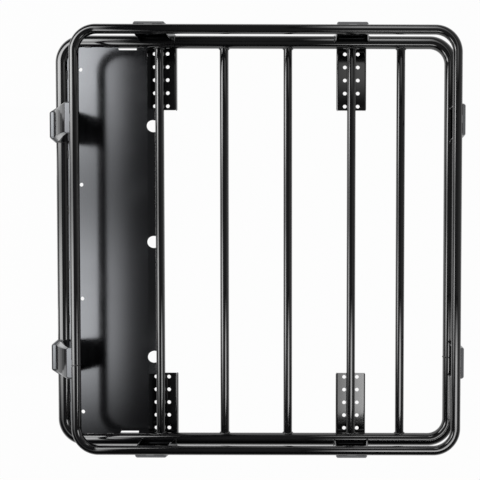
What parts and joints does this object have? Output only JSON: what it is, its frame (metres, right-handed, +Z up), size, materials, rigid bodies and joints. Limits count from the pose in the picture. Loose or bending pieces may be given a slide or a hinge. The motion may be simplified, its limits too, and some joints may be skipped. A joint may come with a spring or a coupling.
{
  "type": "roof rack",
  "caption": "Welded tubular roof rack basket with two rail tiers, crossbars, perforated mounting plates, pressed rail brackets and a front fairing.",
  "frame": {"origin": "middle of the footprint, level with the feet of the mounting plates", "axes": "-X towards the front of the vehicle, +Y towards its right side, +Z up"},
  "size_m": [1.1934, 1.2284, 0.1562],
  "materials": {
    "tube_coat": "gloss black powder coat on steel tube",
    "bracket_coat": "gloss black powder coat on pressed steel",
    "plate_coat": "gloss black powder coat on steel plate",
    "fairing_coat": "high-gloss black powder coat on steel sheet"
  },
  "bodies": {
    "root": {"lower_rail_front": "tube_coat", "lower_rail_rear": "tube_coat", "lower_rail_left": "tube_coat", "lower_rail_right": "tube_coat", "lower_bend_front_left": "tube_coat", "lower_bend_front_right": "tube_coat", "lower_bend_rear_left": "tube_coat", "lower_bend_rear_right": "tube_coat", "upper_rail_front": "tube_coat", "upper_rail_rear": "tube_coat", "upper_rail_left": "tube_coat", "upper_rail_right": "tube_coat", "upper_bend_front_left": "tube_coat", "upper_bend_front_right": "tube_coat", "upper_bend_rear_left": "tube_coat", "upper_bend_rear_right": "tube_coat", "crossbar_1": "tube_coat", "crossbar_2": "tube_coat", "crossbar_3": "tube_coat", "crossbar_4": "tube_coat", "crossbar_5": "tube_coat", "mount_plate_front_left": "plate_coat", "mount_plate_front_right": "plate_coat", "mount_plate_rear_left": "plate_coat", "mount_plate_rear_right": "plate_coat", "bracket_front_left": "bracket_coat", "bracket_front_right": "bracket_coat", "bracket_rear_left": "bracket_coat", "bracket_rear_right": "bracket_coat", "bracket_left_front": "bracket_coat", "bracket_left_rear": "bracket_coat", "bracket_right_front": "bracket_coat", "bracket_right_rear": "bracket_coat", "wind_fairing": "fairing_coat"}
  },
  "joints": []
}
